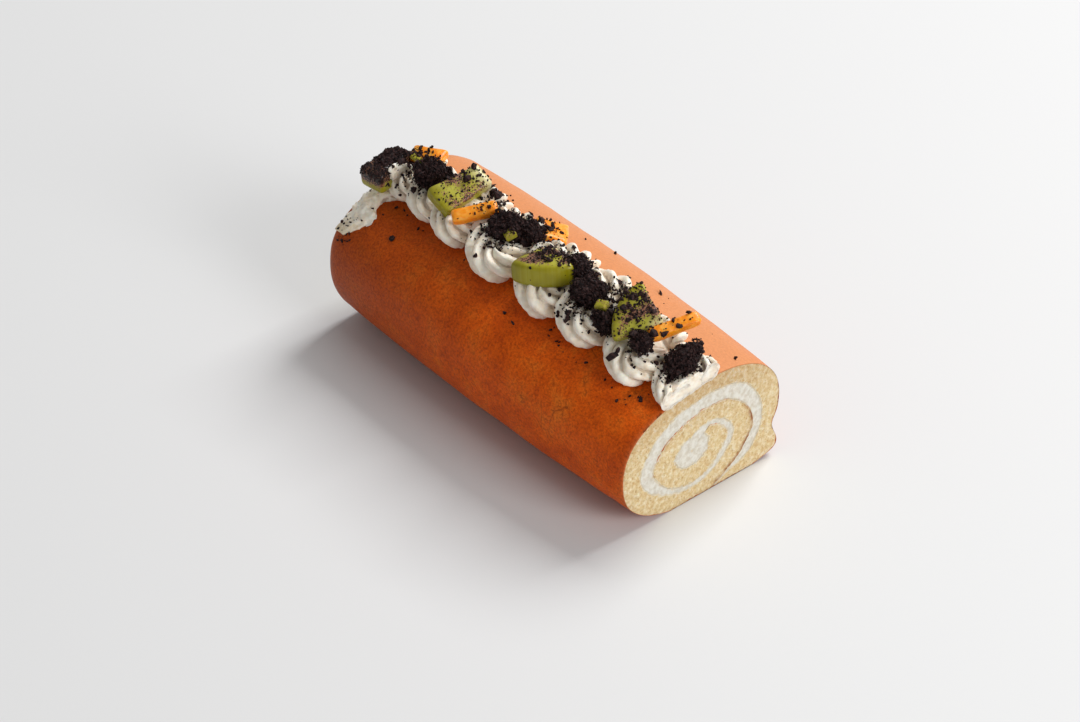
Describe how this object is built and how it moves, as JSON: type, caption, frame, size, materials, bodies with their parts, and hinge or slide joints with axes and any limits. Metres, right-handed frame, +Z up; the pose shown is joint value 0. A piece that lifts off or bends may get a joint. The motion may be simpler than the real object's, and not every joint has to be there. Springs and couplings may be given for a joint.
{
  "type": "swiss roll cake",
  "caption": "Swiss roll cake of browned sponge rolled round cream, with a sliced end and a top row of piped cream, green and citrus fruit pieces and dark biscuit crumbs.",
  "frame": {"origin": "middle of the flat underside, on the surface that the roll lies on", "axes": "+X along the roll towards its sliced end, +Y away from the side with the plain skin, +Z up"},
  "size_m": [0.19, 0.092, 0.0894],
  "materials": {
    "sponge": "baked sponge with a browned, finely grained skin; pale yellow and open-pored where cut",
    "cream_filling": "soft whipped cream, cut with a knife, satin",
    "piped_cream": "whipped cream piped through a star nozzle, satin with soft highlights",
    "green_fruit": "moist translucent green fruit flesh with dark seeds",
    "citrus_fruit": "moist orange citrus flesh",
    "biscuit_crumb": "dry near-black cocoa biscuit crumbs"
  },
  "bodies": {
    "root": {"sponge": "sponge", "cream_filling": "cream_filling", "cream_swirl_1": "piped_cream", "cream_swirl_2": "piped_cream", "cream_swirl_3": "piped_cream", "cream_swirl_4": "piped_cream", "cream_swirl_5": "piped_cream", "cream_swirl_6": "piped_cream", "cream_swirl_7": "piped_cream", "cream_swirl_8": "piped_cream", "green_fruit_wedge_1": "green_fruit", "green_fruit_wedge_2": "green_fruit", "green_fruit_wedge_3": "green_fruit", "green_fruit_wedge_4": "green_fruit", "green_fruit_bit_1": "green_fruit", "green_fruit_bit_2": "green_fruit", "green_fruit_bit_3": "green_fruit", "citrus_strip_1": "citrus_fruit", "citrus_strip_2": "citrus_fruit", "citrus_strip_3": "citrus_fruit", "citrus_strip_4": "citrus_fruit", "crumb_heap_1": "biscuit_crumb", "crumb_heap_2": "biscuit_crumb", "crumb_heap_3": "biscuit_crumb", "crumb_heap_4": "biscuit_crumb", "crumb_heap_5": "biscuit_crumb", "crumb_heap_6": "biscuit_crumb"}
  },
  "joints": []
}
